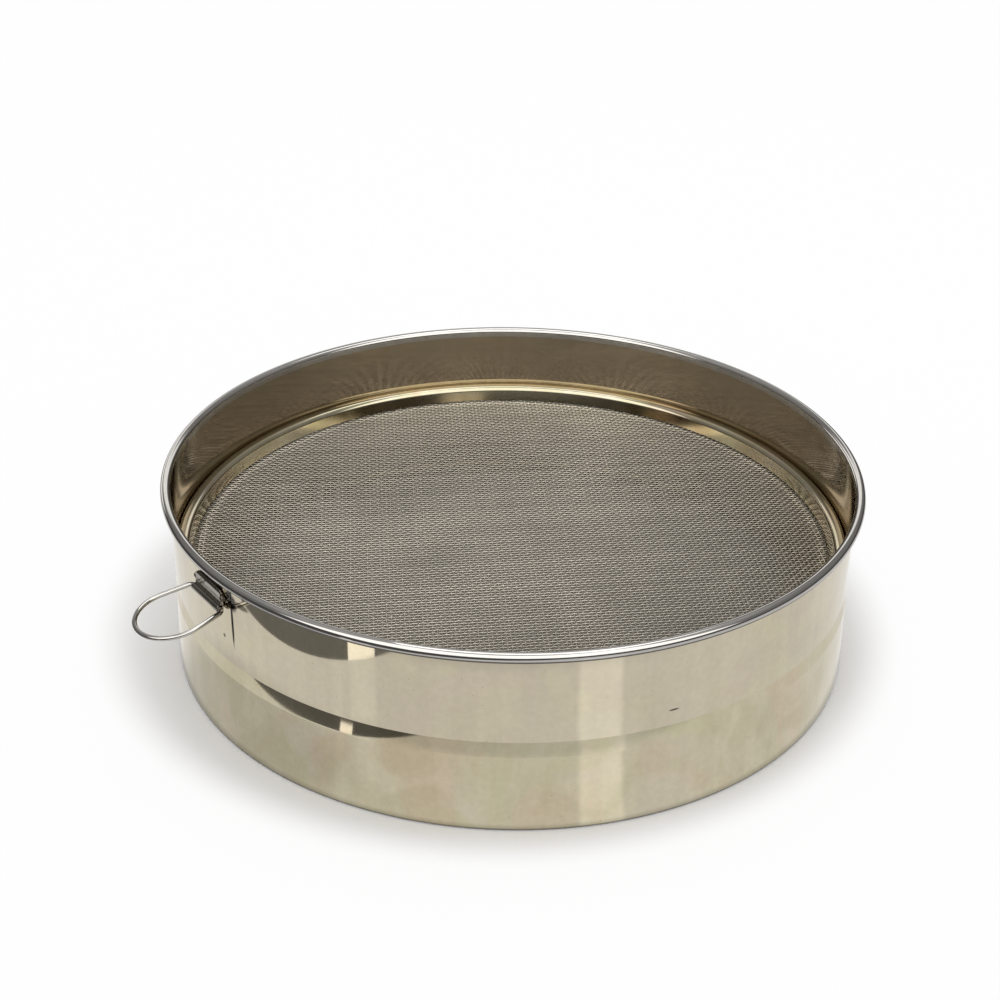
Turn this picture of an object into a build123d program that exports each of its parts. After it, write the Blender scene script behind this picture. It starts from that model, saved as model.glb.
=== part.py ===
from build123d import *
import math
import os

# Drum sieve (tamis) of sheet steel, millimetres, +Z up.
# The origin is on the drum's axis, in the plane that its base rests on.
# The hanging loop stands out along -X.

# Overall sizes
rim_diameter = 300.0
height = 81.0
hoop_sheet = 0.6

# Rolled rim: the sheet is curled outwards round a wire
rim_wire_diameter = 2.6
rim_wire_play = 0.25
curl_mouth_start = 190.0
curl_mouth_end = 238.0

# Outside levels: the upper hoop's seat, and what lies below and above it
seat_height = 40.3
shoulder_rise = 6.9
crease_drop = 5.4
ledge_rise = 3.7
hem_height = 5.0

# Lower hoop
skirt_base_radius = 147.3
skirt_top_radius = 146.8
hem_gap = 0.3
collar_play = 0.1
ledge_width = 7.2
ledge_bend = 1.2

# Wire cloth, as a net, and the wire that stiffens its margin
cloth_thickness = 0.9
cloth_edge_play = 0.7
net_gap = 13.0
net_bar = 2.2
net_margin = 1.6
net_turn_angle = -31.5
edge_wire_diameter = 2.5

# Retaining ring: a pressed channel that clamps the cloth from above
ring_play = 0.1
ring_width = 7.4
ring_rise = 6.8
ring_lean = 1.9
ring_wall_bend = 1.2
ring_mouth_bend = 1.8

# Seam of the upper hoop, open for a short way below the rim
seam_angle = -174.0
seam_width = 0.45
seam_drop = 1.2
seam_length = 24.0

# Hanging loop
loop_wire_diameter = 2.0
loop_end_radius = 15.0
loop_end_reach = 15.1
loop_splay_angle = 9.0
loop_bend_radius = 2.4
loop_droop_angle = 9.0

# Strap that holds the loop, and its welds
strap_sheet = 0.6
strap_width = 20.8
strap_drop = 4.1
strap_rise = 7.7
strap_lap = 0.9
strap_corner = 2.6
strap_seat_play = 0.05
bar_clearance = 0.07
weld_radius = 1.4
weld_rise = 0.3
weld_drop = 3.2
overrun = 2.0

# Places worked out from the sizes above
rim_curl_bore = rim_wire_diameter / 2 + rim_wire_play
rim_curl_radius = rim_curl_bore + hoop_sheet
rim_centre_radius = rim_diameter / 2 - rim_curl_radius
rim_centre_height = height - rim_curl_radius
hoop_inner_radius = rim_centre_radius - rim_curl_radius
hoop_outer_radius = hoop_inner_radius + hoop_sheet
rim_foot_height = height - 2 * rim_curl_radius
shoulder_foot_height = seat_height - shoulder_rise
crease_height = shoulder_foot_height - crease_drop
collar_radius = hoop_inner_radius - collar_play
ledge_height = seat_height + ledge_rise
cloth_top = ledge_height + cloth_thickness
cloth_radius = collar_radius - cloth_edge_play
ring_outer_radius = hoop_inner_radius - ring_play
ring_inner_radius = ring_outer_radius - ring_width
ring_top = cloth_top + ring_rise
hem_inner_radius = skirt_base_radius - 2 * hoop_sheet - hem_gap
seam_foot_height = rim_foot_height - seam_drop - seam_length
strap_top_height = rim_foot_height - strap_drop
bar_height = strap_top_height - strap_rise
weld_height = strap_top_height - weld_drop

os.makedirs("parts", exist_ok=True)


def on_circle(radius, degrees):
    """Point on a circle about the origin of the sketch."""
    turn = math.radians(degrees)
    return (radius * math.cos(turn), radius * math.sin(turn))


# Upper hoop: a straight wall whose top is curled outwards
with BuildPart() as upper_hoop:
    with BuildSketch(Plane.XZ):
        rim_centre = (rim_centre_radius, rim_centre_height)
        with Locations(rim_centre):
            Circle(rim_curl_radius)
            Circle(rim_curl_bore, mode=Mode.SUBTRACT)
            Polygon(
                (0, 0),
                on_circle(rim_diameter, curl_mouth_start),
                on_circle(rim_diameter, curl_mouth_end),
                align=None,
                mode=Mode.SUBTRACT,
            )
        wall_foot = (hoop_inner_radius, seat_height)
        with Locations(wall_foot):
            Rectangle(hoop_sheet, rim_centre_height - seat_height, align=(Align.MIN, Align.MIN))
    revolve(axis=Axis.Z)
    seam_plane = Plane.XY.rotated((0, 0, seam_angle)).offset(seam_foot_height)
    with BuildSketch(seam_plane):
        with Locations((hoop_inner_radius, 0)):
            Rectangle(2 * overrun, seam_width)
    extrude(amount=seam_length, mode=Mode.SUBTRACT)

# Wire inside the rolled rim
with BuildPart() as rim_wire:
    with BuildSketch(Plane.XZ):
        with Locations(rim_centre):
            Circle(rim_wire_diameter / 2)
    revolve(axis=Axis.Z)

# Lower hoop: hemmed base, flared skirt, sloping shoulder, and a collar that
# stands inside the upper hoop and turns in as the ledge under the cloth
with BuildPart() as lower_hoop:
    with BuildSketch(Plane.XZ):
        with BuildLine():
            FilletPolyline(
                (skirt_base_radius, 0),
                (skirt_base_radius, hem_height),
                (skirt_top_radius, crease_height),
                (skirt_top_radius, shoulder_foot_height),
                (collar_radius, seat_height),
                (collar_radius, ledge_height),
                (collar_radius - ledge_width, ledge_height),
                radius=[0, 0, 0, 0, ledge_bend],
            )
            offset(amount=hoop_sheet, side=Side.LEFT, kind=Kind.INTERSECTION)
        make_face()
        with Locations((hem_inner_radius, 0)):
            Rectangle(hoop_sheet, hem_height, align=(Align.MIN, Align.MIN))
            Rectangle(skirt_base_radius - hem_inner_radius, hoop_sheet, align=(Align.MIN, Align.MIN))
    revolve(axis=Axis.Z)

# Wire cloth, laid on the ledge: one flat face with square gaps, cut off round
# the edge where the retaining ring clamps it
net_pitch = net_gap + net_bar
net_radius = ring_inner_radius - net_margin
net_count = 2 * math.ceil(net_radius / net_pitch) + 1
with BuildSketch() as net_gaps:
    grid = GridLocations(net_pitch, net_pitch, net_count, net_count).local_locations
    gap_places = [place for place in grid if place.position.length < net_radius]
    with Locations(*gap_places):
        Rectangle(net_gap, net_gap)
    Circle(net_radius, mode=Mode.INTERSECT)
with BuildPart() as mesh_cloth:
    with BuildSketch(Plane.XY.rotated((0, 0, net_turn_angle)).offset(ledge_height)):
        Circle(cloth_radius)
        add(net_gaps.sketch, mode=Mode.SUBTRACT)
    extrude(amount=cloth_thickness)

# Wire on the cloth's margin, inside the retaining ring
with BuildPart() as edge_wire:
    edge_wire_radius = (ring_outer_radius + ring_inner_radius) / 2
    with BuildSketch(Plane.XZ):
        with Locations((edge_wire_radius, cloth_top + edge_wire_diameter / 2)):
            Circle(edge_wire_diameter / 2)
    revolve(axis=Axis.Z)

# Retaining ring: a channel, open below, whose inner side leans outwards
with BuildPart() as retaining_ring:
    with BuildSketch(Plane.XZ):
        with BuildLine():
            FilletPolyline(
                (ring_outer_radius, cloth_top),
                (ring_outer_radius, ring_top),
                (ring_inner_radius + ring_lean, ring_top),
                (ring_inner_radius, cloth_top),
                radius=[ring_wall_bend, ring_mouth_bend],
            )
            offset(amount=hoop_sheet, side=Side.LEFT, kind=Kind.INTERSECTION)
        make_face()
        with Locations((0, cloth_top)):
            Rectangle(rim_diameter, overrun, align=(Align.MIN, Align.MAX), mode=Mode.SUBTRACT)
    revolve(axis=Axis.Z)

# Strap: a leaf against the hoop, folded round the loop's bar and back on itself
bar_bore = loop_wire_diameter / 2 + bar_clearance
knuckle_radius = bar_bore + strap_sheet
strap_back = hoop_outer_radius + strap_seat_play
bar_reach = strap_back + strap_sheet + bar_bore
strap_plane = Plane(origin=(-strap_back, 0, 0), x_dir=(-1, 0, 0), z_dir=(0, 1, 0))
front_plane = Plane(origin=(-hoop_inner_radius, 0, 0), x_dir=(0, -1, 0), z_dir=(-1, 0, 0))
with BuildPart() as loop_strap:
    with BuildSketch(strap_plane):
        with Locations((0, bar_height)):
            Rectangle(strap_sheet, strap_rise, align=(Align.MIN, Align.MIN))
            Rectangle(2 * strap_sheet, strap_rise - strap_lap, align=(Align.MIN, Align.MIN))
        with Locations((strap_sheet + bar_bore, bar_height)):
            Circle(knuckle_radius)
            Circle(bar_bore, mode=Mode.SUBTRACT)
    extrude(amount=strap_width / 2, both=True)
    with BuildSketch(front_plane) as strap_front:
        strap_foot = bar_height - knuckle_radius
        with Locations((0, strap_foot)):
            Rectangle(strap_width, strap_top_height - strap_foot, align=(Align.CENTER, Align.MIN))
        fillet(strap_front.vertices().group_by(Axis.Z)[-1], radius=strap_corner)
    extrude(amount=bar_reach + knuckle_radius + overrun - hoop_inner_radius, mode=Mode.INTERSECT)

# Hanging loop: a straight bar, two bends, splayed legs and a round end
droop = math.radians(loop_droop_angle)
splay = math.radians(loop_splay_angle)
bar_corner = (loop_end_radius - loop_end_reach * math.sin(splay)) / math.cos(splay)
leg_end_reach = loop_end_reach - loop_end_radius * math.sin(splay)
leg_end_side = loop_end_radius * math.cos(splay)
loop_plane = Plane(
    origin=(-bar_reach, 0, bar_height),
    x_dir=(-math.cos(droop), 0, -math.sin(droop)),
    z_dir=(math.sin(droop), 0, -math.cos(droop)),
)
with BuildPart() as hanging_loop:
    with BuildLine(loop_plane) as loop_path:
        FilletPolyline(
            (leg_end_reach, leg_end_side),
            (0, bar_corner),
            (0, -bar_corner),
            (leg_end_reach, -leg_end_side),
            radius=loop_bend_radius,
        )
        ThreePointArc(
            (leg_end_reach, -leg_end_side),
            (loop_end_reach + loop_end_radius, 0),
            (leg_end_reach, leg_end_side),
        )
    loop_wire_path = loop_path.wires()[0]
    with BuildSketch(Plane(origin=loop_wire_path @ 0, z_dir=loop_wire_path % 0)):
        Circle(loop_wire_diameter / 2)
    sweep(path=loop_wire_path)

# Weld nuggets between the strap's ends and the hoop
with BuildPart() as strap_welds:
    with BuildSketch(front_plane):
        with Locations((-strap_width / 2, weld_height), (strap_width / 2, weld_height)):
            Circle(weld_radius)
    extrude(amount=strap_back + 2 * strap_sheet + weld_rise - hoop_inner_radius)
    add(upper_hoop.part, mode=Mode.SUBTRACT)
    add(loop_strap.part, mode=Mode.SUBTRACT)

upper_hoop.part.label = "upper_hoop"
rim_wire.part.label = "rim_wire"
lower_hoop.part.label = "lower_hoop"
mesh_cloth.part.label = "mesh_cloth"
edge_wire.part.label = "edge_wire"
retaining_ring.part.label = "retaining_ring"
loop_strap.part.label = "loop_strap"
hanging_loop.part.label = "hanging_loop"
strap_welds.part.label = "strap_welds"

export_step(upper_hoop.part, "parts/upper_hoop.step")
export_step(rim_wire.part, "parts/rim_wire.step")
export_step(lower_hoop.part, "parts/lower_hoop.step")
export_step(mesh_cloth.part, "parts/mesh_cloth.step")
export_step(edge_wire.part, "parts/edge_wire.step")
export_step(retaining_ring.part, "parts/retaining_ring.step")
export_step(loop_strap.part, "parts/loop_strap.step")
export_step(hanging_loop.part, "parts/hanging_loop.step")
export_step(strap_welds.part, "parts/strap_welds.step")
print("gaps in the cloth:", len(gap_places))
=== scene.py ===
import math

import bmesh
import bpy
from bpy.props import FloatProperty, FloatVectorProperty, IntProperty, PointerProperty
from mathutils import Matrix, Vector


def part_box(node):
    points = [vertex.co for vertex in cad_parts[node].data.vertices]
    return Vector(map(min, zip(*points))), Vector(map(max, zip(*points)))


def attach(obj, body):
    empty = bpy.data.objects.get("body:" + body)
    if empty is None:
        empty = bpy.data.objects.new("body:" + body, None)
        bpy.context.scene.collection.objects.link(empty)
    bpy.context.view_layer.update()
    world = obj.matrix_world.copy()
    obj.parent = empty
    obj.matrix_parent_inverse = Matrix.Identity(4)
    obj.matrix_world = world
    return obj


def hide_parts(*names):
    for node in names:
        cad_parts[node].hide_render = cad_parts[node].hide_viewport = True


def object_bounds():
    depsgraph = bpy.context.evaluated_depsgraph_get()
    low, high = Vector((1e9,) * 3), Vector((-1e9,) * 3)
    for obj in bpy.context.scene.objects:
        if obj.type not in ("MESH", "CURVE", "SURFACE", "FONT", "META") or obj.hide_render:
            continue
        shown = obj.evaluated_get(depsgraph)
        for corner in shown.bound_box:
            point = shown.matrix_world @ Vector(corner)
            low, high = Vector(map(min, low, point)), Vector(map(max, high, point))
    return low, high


bl_info = {
    "name": "Drum Sieve",
    "version": (1, 0, 0),
    "blender": (4, 5, 0),
    "location": "3D View > Sidebar > Drum Sieve",
    "description": "Dresses a packed drum sieve: hoops, ring, woven cloth, loop, strap and stage",
    "category": "Object",
}

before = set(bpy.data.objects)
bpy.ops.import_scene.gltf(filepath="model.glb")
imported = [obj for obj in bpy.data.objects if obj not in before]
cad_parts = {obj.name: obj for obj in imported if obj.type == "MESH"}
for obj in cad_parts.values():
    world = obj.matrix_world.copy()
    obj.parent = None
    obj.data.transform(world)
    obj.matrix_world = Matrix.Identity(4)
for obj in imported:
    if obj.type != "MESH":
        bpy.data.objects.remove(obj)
cad_low, cad_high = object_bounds()

MM = 0.001
RIM_DIAMETER = cad_high.y - cad_low.y
HEIGHT = cad_high.z
CLOTH_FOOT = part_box("mesh_cloth")[0].z
CLOTH_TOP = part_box("mesh_cloth")[1].z
SEAT_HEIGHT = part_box("upper_hoop")[0].z
RING_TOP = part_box("retaining_ring")[1].z
RING_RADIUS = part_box("retaining_ring")[1].x
STATIONS = 480

# Hoops and ring: plays and bends in metres, and the rows of the wall between which the seam is open
COLLAR_PLAY = 0.1 * MM
SEAM_ROWS = (2, 3)
GUARD = 0.15 * MM
SKIRT_BENDS = (30 * MM, 12 * MM, 2.5 * MM, 1.5 * MM)
RING_BENDS = (2.3 * MM, 2.7 * MM)

# Marks on the upper hoop: angle in degrees, height and radii in millimetres, strength, tone.
# Weld smudge, its arm up to the rim, brown patch, dark line of the seam, spot, and a scratch in front.
WALL_MARKS = (
    (-173.8, 69.2, (9, 4.0, 4.6), 1.0, (0.012, 0.010, 0.008)),
    (-174.4, 73.5, (9, 2.2, 4.5), 1.0, (0.02, 0.017, 0.014)),
    (-171.4, 70.3, (9, 5.5, 1.8), 0.9, (0.10, 0.08, 0.055)),
    (-174.0, 60.0, (6, 1.0, 14), 1.0, (0.015, 0.012, 0.010)),
    (-176.6, 51.2, (6, 1.1, 1.1), 0.9, (0.03, 0.025, 0.02)),
    (-102.0, 47.0, (2.8, 4, 0.55), 1.0, (0.12, 0.10, 0.08)),
)

# Weave: wires start out longer than the cloth, lie a little off their places, and have numbers above zero
OVERRUN = 1.12
WIRE_PLAY = 0.05
WIRE_SIDES = 6
WIRE_NUMBER_SHIFT = 500.0

# The strap's fold round the bar and the weld nuggets at its ends, in metres
BAR_PLAY = 0.07 * MM
LAP_GAP = 0.01 * MM
LAP_BEND = 0.45 * MM
WELD_INSET = 3.8 * MM
WELD_STANDOFF = 0.2 * MM
WELD_RINGS = 6
WELD_STEPS = 20

# Stage, in metres where no unit is given
FLOOR_RADIUS = 4.0
# The mat is a dark disc of painted shade under the cloth, where the floor inside the drum lies in shade.
SHADE_MAT_RADIUS = 0.1457
SHADE_MAT_HEIGHT = 0.3 * MM
TABLE_HEIGHT = 0.15 * MM
TABLE_CORNERS = ((-0.227, -0.62), (0.55, -0.62), (0.55, 0.55), (-0.227, 0.55))
DISC_CORNERS = 144
BOX_DISTANCE = 394 * MM
BOX_LOWER_MM = ((-122, -113), (-67, -113), (-67, -80), (-69, -80))
BOX_UPPER_MM = ((-69, -51), (-93, -51), (-93, -80), (-122, -80))
ROOM_RADIUS = 2.6
SOFTBOX_WIDTH = 0.9
SOFTBOX_PLACE = (0.30, 0.25, 1.5)
SOFTBOX_AIM = (0, 0, 0.04)

# Bright patches of the room: azimuth and half width, lowest and highest elevation, strength
ROOM_PATCHES = (
    (233, 70, 20, 72, 1.9),
    (57, 28, 20, 32, 1.2),
    (88, 13, 1, 14, 1.4),
)

# Camera fitted to the photo's outlines: lens in millimetres, place and directions
LENS_MM = 61.2
SENSOR_MM = 36.0
CAMERA_PLACE_MM = (-391.04, -520.81, 417.86)
CAMERA_RIGHT = (0.808617, -0.588207, 0.0126)
CAMERA_DOWN = (-0.273181, -0.394339, -0.87742)
CAMERA_AHEAD = (0.521075, 0.706048, -0.47955)

RAY_KINDS = ("camera", "diffuse", "glossy", "transmission", "shadow", "volume_scatter")


def length(name, default, description):
    """Length property in metres."""
    return FloatProperty(name=name, description=description, default=default, unit="LENGTH", precision=5)


def turn_angle(name, degrees, description):
    """Angle property, given in degrees and kept in radians."""
    return FloatProperty(name=name, description=description, default=math.radians(degrees), subtype="ANGLE")


def colour(name, default, description):
    """Colour property without alpha."""
    return FloatVectorProperty(
        name=name, description=description, default=default, size=3, min=0, max=1, subtype="COLOR"
    )


class DrumSizes(bpy.types.PropertyGroup):
    """Sizes of the two hoops, the rolled rim and the retaining ring."""

    sheet: length("Sheet", 0.6 * MM, "Thickness of the hoops' sheet")
    rim_diameter: length("Rim diameter", RIM_DIAMETER, "Outer diameter of the rolled rim")
    height: length("Height", HEIGHT, "Height of the drum")
    rim_bore: length("Rim bore", 1.55 * MM, "Inner radius of the curl round the rim's wire")
    seat_height: length("Seat height", SEAT_HEIGHT, "Lower edge of the upper hoop")
    shoulder_rise: length("Shoulder rise", 6.9 * MM, "Height of the sloping shoulder")
    crease_drop: length("Crease drop", 5.4 * MM, "From the shoulder's foot down to the crease")
    skirt_base: length("Skirt base radius", 147.3 * MM, "Outer radius of the skirt at its base")
    skirt_top: length("Skirt top radius", 146.8 * MM, "Outer radius of the skirt below the shoulder")
    hem_height: length("Hem height", 5.0 * MM, "Height of the hem's inner leaf")
    hem_gap: length("Hem gap", 0.3 * MM, "Gap between the hem's leaves")
    ledge_width: length("Ledge width", 7.2 * MM, "Width of the ledge under the cloth")
    ledge_bend: length("Ledge bend", 1.2 * MM, "Outer radius of the bend into the ledge")
    ring_width: length("Ring width", 7.4 * MM, "Width of the retaining ring")
    ring_lean: length("Ring lean", 1.9 * MM, "How far the ring's inner side leans outwards")
    seam_angle: turn_angle("Seam angle", -174.0, "Where the upper hoop's seam is")
    seam_width: length("Seam width", 0.45 * MM, "Width of the open seam")
    seam_foot: length("Seam foot", 51.5 * MM, "Height at which the open seam starts")
    seam_head: length("Seam head", 75.5 * MM, "Height at which the open seam ends")


class ClothSizes(bpy.types.PropertyGroup):
    """Sizes of the woven wire cloth."""

    wire: length("Wire", 0.50 * MM, "Diameter of the cloth's wires")
    warp_pitch: length("Warp pitch", 1.92 * MM, "Distance between neighbouring warp wires")
    weft_pitch: length("Weft pitch", 1.82 * MM, "Distance between neighbouring weft wires")
    warp_angle: turn_angle("Warp angle", -28.5, "Direction in which the warp wires run")
    weft_angle: turn_angle("Weft angle", 58.5, "Direction in which the weft wires run")
    radius: length("Cloth radius", 143.5 * MM, "Where the cloth ends inside the retaining ring")
    bands: IntProperty(name="Bands", description="Bands that each set of wires is split into", default=4)
    seed: IntProperty(name="Seed", description="Seed of the wires' small differences", default=7)


class LoopSizes(bpy.types.PropertyGroup):
    """Sizes of the hanging loop and its strap."""

    wire: length("Wire", 2.0 * MM, "Diameter of the loop's wire")
    end_radius: length("End radius", 15.0 * MM, "Radius of the loop's round end")
    end_reach: length("End reach", 15.1 * MM, "From the bar to the centre of the round end")
    bend_radius: length("Bend radius", 2.4 * MM, "Radius of the bends beside the bar")
    splay: turn_angle("Splay", 9.0, "How far each leg leans away from the middle")
    droop: turn_angle("Droop", 9.0, "How far the loop hangs below level")
    bar_reach: length("Bar reach", 148.02 * MM, "From the drum's axis to the bar")
    bar_height: length("Bar height", 64.9 * MM, "Height of the bar")
    strap_sheet: length("Strap sheet", 0.6 * MM, "Thickness of the strap")
    strap_width: length("Strap width", 20.8 * MM, "Width of the strap along the bar")
    strap_top: length("Strap top", 72.6 * MM, "Height of the strap's back leaf")
    strap_lap: length("Strap lap", 0.9 * MM, "How much lower the front leaf ends")
    strap_corner: length("Strap corner", 2.6 * MM, "Radius of the strap's corners")
    weld_radius: length("Weld radius", 1.4 * MM, "Radius of the weld nuggets")
    weld_height: length("Weld height", 69.4 * MM, "Height of the weld nuggets")


class Finishes(bpy.types.PropertyGroup):
    """Colours of the metals and the stage."""

    sheet: colour("Sheet", (0.60, 0.550, 0.435), "Rolled stainless sheet")
    rim: colour("Rim", (0.58, 0.57, 0.555), "Sheet of the rolled rim, which has less tint")
    sheet_straw: colour("Straw tint", (0.595, 0.548, 0.405), "Straw tint in the sheet")
    sheet_rose: colour("Rose tint", (0.565, 0.505, 0.405), "Rose tint in the sheet")
    cloth: colour("Cloth", (0.60, 0.568, 0.505), "Wires of the cloth")
    loop: colour("Loop", (0.60, 0.59, 0.565), "Wire of the loop")
    strap: colour("Strap", (0.36, 0.335, 0.30), "Folded strap")
    weld: colour("Weld", (0.10, 0.085, 0.07), "Heat-tinted weld metal")
    floor: colour("Floor", (0.94, 0.94, 0.945), "Pale floor")
    table: colour("Table", (1.0, 0.985, 0.96), "Table that the steel reflects")
    # Painted shade: the mat's dark colour stands in for the shade under the cloth.
    mat: colour("Mat", (0.27, 0.25, 0.217), "Dark surface under the cloth")
    sky_level: FloatProperty(name="Sky level", description="Strength of the even light", default=0.86)
    lamp_watts: FloatProperty(name="Lamp", description="Power of the softbox", default=4.0, unit="POWER")


# Node helpers


def add_node(tree, kind, settings=None, inputs=None):
    """Adds a node, sets its settings, and fills or links its inputs."""
    made = tree.nodes.new(kind)
    for name, value in (settings or {}).items():
        setattr(made, name, value)
    for name, value in (inputs or {}).items():
        if isinstance(value, bpy.types.NodeSocket):
            tree.links.new(value, made.inputs[name])
        else:
            made.inputs[name].default_value = value
    return made


def math_node(tree, operation, first, second=0.0, third=0.0):
    """Result of a math node."""
    made = add_node(tree, "ShaderNodeMath", {"operation": operation}, {0: first, 1: second, 2: third})
    return made.outputs[0]


def vector_node(tree, operation, first, second=(0, 0, 0), output=0):
    """Result of a vector math node."""
    made = add_node(tree, "ShaderNodeVectorMath", {"operation": operation}, {0: first, 1: second})
    return made.outputs[output]


def measure_node(tree, operation, first, second=(0, 0, 0)):
    """Number that a vector math node gives, such as a length or a dot product."""
    return vector_node(tree, operation, first, second, "Value")


def scale_node(tree, vector, factor):
    """Vector or colour scaled by a number."""
    settings = {"operation": "SCALE"}
    return add_node(tree, "ShaderNodeVectorMath", settings, {0: vector, "Scale": factor}).outputs[0]


def product_node(tree, first, *factors):
    """Product of two or more numbers."""
    for factor in factors:
        first = math_node(tree, "MULTIPLY", first, factor)
    return first


def height_of(tree, place):
    """Height of a place or of a direction."""
    return add_node(tree, "ShaderNodeSeparateXYZ", None, {0: place}).outputs["Z"]


def reach_of(tree, place):
    """Distance of a place from the drum's axis."""
    return measure_node(tree, "LENGTH", vector_node(tree, "MULTIPLY", place, (1, 1, 0)))


def direct_rays(tree):
    """1 for the rays that see the white background: camera, glossy and transmission rays."""
    rays = tree.nodes.new("ShaderNodeLightPath").outputs
    direct = math_node(tree, "MAXIMUM", rays["Is Camera Ray"], rays["Is Glossy Ray"])
    return math_node(tree, "MAXIMUM", direct, rays["Is Transmission Ray"])


def span_node(tree, value, low, high, to_low=0.0, to_high=1.0):
    """Value mapped from one span to another, held at its ends."""
    inputs = {0: value, 1: low, 2: high, 3: to_low, 4: to_high}
    return add_node(tree, "ShaderNodeMapRange", {"interpolation_type": "SMOOTHSTEP"}, inputs).outputs[0]


def noise_node(tree, place, scale, detail=2.0, distortion=0.0, stretch=(1, 1, 1)):
    """Noise over object coordinates that are stretched by stretch."""
    mapping = add_node(tree, "ShaderNodeMapping", None, {"Vector": place, "Scale": stretch})
    inputs = {"Vector": mapping.outputs[0], "Scale": scale, "Detail": detail, "Distortion": distortion}
    return add_node(tree, "ShaderNodeTexNoise", None, inputs).outputs[0]


def mix_colours(tree, share, first, second, blend="MIX"):
    """Colour mixed from two colours."""
    made = add_node(tree, "ShaderNodeMix", {"data_type": "RGBA", "blend_type": blend}, {0: share})
    for index, value in ((6, first), (7, second)):
        if isinstance(value, bpy.types.NodeSocket):
            tree.links.new(value, made.inputs[index])
        else:
            made.inputs[index].default_value = (*value, 1.0)
    return made.outputs[2]


def new_material(name, metallic=1.0):
    """Material with its tree, shader and object coordinates."""
    material = bpy.data.materials.new(name)
    material.use_nodes = True
    tree = material.node_tree
    shader = tree.nodes["Principled BSDF"]
    shader.inputs["Metallic"].default_value = metallic
    place = add_node(tree, "ShaderNodeTexCoord").outputs["Object"]
    return material, tree, shader, place


def finish_metal(tree, shader, base, rough, relief, strength, depth):
    """Links a metal's colour, roughness and relief to its shader."""
    tree.links.new(base, shader.inputs["Base Color"])
    tree.links.new(rough, shader.inputs["Roughness"])
    inputs = {"Strength": strength, "Distance": depth, "Height": relief}
    bump = add_node(tree, "ShaderNodeBump", None, inputs)
    tree.links.new(bump.outputs[0], shader.inputs["Normal"])


def near_point(tree, place, centre, radii):
    """1 at a point of the piece and 0 outside an ellipsoid round it."""
    away = vector_node(tree, "SUBTRACT", place, centre)
    shrunk = vector_node(tree, "DIVIDE", away, radii)
    return span_node(tree, measure_node(tree, "LENGTH", shrunk), 0.5, 1.0, 1.0, 0.0)


def upper_hoop_tones(tree, place, looks, rim_foot, base, rough):
    """Tones of the upper hoop: painted shade that makes the duller inner side darker and browner, a clean
    rim, and a painted shadow as a dark rough line under the curl.
    """
    height = height_of(tree, place)
    reach = reach_of(tree, place)
    # Painted shade: the inner side's colour is darkened towards brown; it is also a little rougher.
    inside = span_node(tree, reach, 145.9 * MM, 146.1 * MM, 1.0, 0.0)
    base = mix_colours(tree, inside, base, (0.80, 0.735, 0.69), "MULTIPLY")
    rim = span_node(tree, height, rim_foot, rim_foot + 0.6 * MM)
    base = mix_colours(tree, rim, base, looks.rim[:])
    # Painted shadow: a dark band under the curl, where shade falls between the curl and the wall; it is
    # rougher there too.
    below = span_node(tree, height, rim_foot + 1.2 * MM, rim_foot + 2.1 * MM, 1.0, 0.0)
    below = product_node(tree, below, span_node(tree, reach, 146.5 * MM, 146.9 * MM))
    base = mix_colours(tree, product_node(tree, below, 0.9), base, (0.07, 0.062, 0.055))
    rough = math_node(tree, "MULTIPLY_ADD", inside, 0.045, rough)
    return base, math_node(tree, "MULTIPLY_ADD", below, 0.5, rough)


def skirt_tones(tree, place, clouds, base):
    """Tones of the lower hoop and the ring: greenish and rosy stains, and painted shade that darkens the
    hem's fold at its foot.
    """
    base = mix_colours(tree, clouds, base, (0.935, 0.96, 0.85), "MULTIPLY")
    stains = span_node(tree, noise_node(tree, place, 24.0, 3.0, 1.2, (1, 1, 0.45)), 0.5, 0.66)
    base = mix_colours(tree, stains, base, (1.0, 0.93, 0.93), "MULTIPLY")
    # Painted shade: the foot of the hem's fold, up to about 1.3 mm, is darkened where it meets the floor.
    painted_foot_shade = span_node(tree, height_of(tree, place), 0.4 * MM, 1.3 * MM, 0.85, 0.0)
    return mix_colours(tree, painted_foot_shade, base, (0.11, 0.10, 0.085))


def sheet_steel(name, looks, marks=(), roughness=0.035, rim_foot=None):
    """Rolled stainless sheet: blotches of straw and rose tint, upright smears, specks and fine pits."""
    material, tree, shader, place = new_material(name)
    clouds = span_node(tree, noise_node(tree, place, 30.0, 4.0, 1.5, (1, 1, 0.8)), 0.36, 0.64)
    tint = mix_colours(tree, clouds, looks.sheet_straw[:], looks.sheet_rose[:])
    half = span_node(tree, noise_node(tree, place, 17.0, 3.0, 1.0), 0.38, 0.62, 0.15, 0.95)
    base = mix_colours(tree, half, looks.sheet[:], tint)
    film = noise_node(tree, place, 30.0, 3.0, 0.8, (1, 1, 0.5))
    rough = span_node(tree, film, 0.35, 0.7, roughness, roughness * 1.8)
    if rim_foot:
        base, rough = upper_hoop_tones(tree, place, looks, rim_foot, base, rough)
    else:
        base = skirt_tones(tree, place, clouds, base)
    smears = noise_node(tree, place, 4.0, 3.0, 0.4, (30, 30, 1.5))
    fine = noise_node(tree, place, 420.0, 3.0)
    cells = add_node(tree, "ShaderNodeTexVoronoi", None, {"Vector": place, "Scale": 210.0})
    shade = product_node(
        tree,
        span_node(tree, smears, 0.3, 0.7, 0.965, 1.02),
        span_node(tree, fine, 0.3, 0.75, 0.965, 1.02),
        span_node(tree, cells.outputs["Distance"], 0.02, 0.06, 0.62, 1.0),
    )
    base = scale_node(tree, base, shade)
    for centre, radii, strength, tone in marks:
        spot = near_point(tree, place, centre, radii)
        ragged = noise_node(tree, place, 500.0, 3.0)
        share = product_node(tree, spot, span_node(tree, ragged, 0.3, 0.6, 0.92 * strength, strength))
        base = mix_colours(tree, share, base, tone)
    finish_metal(tree, shader, base, rough, smears, 0.02, 0.02 * MM)
    return material


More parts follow.
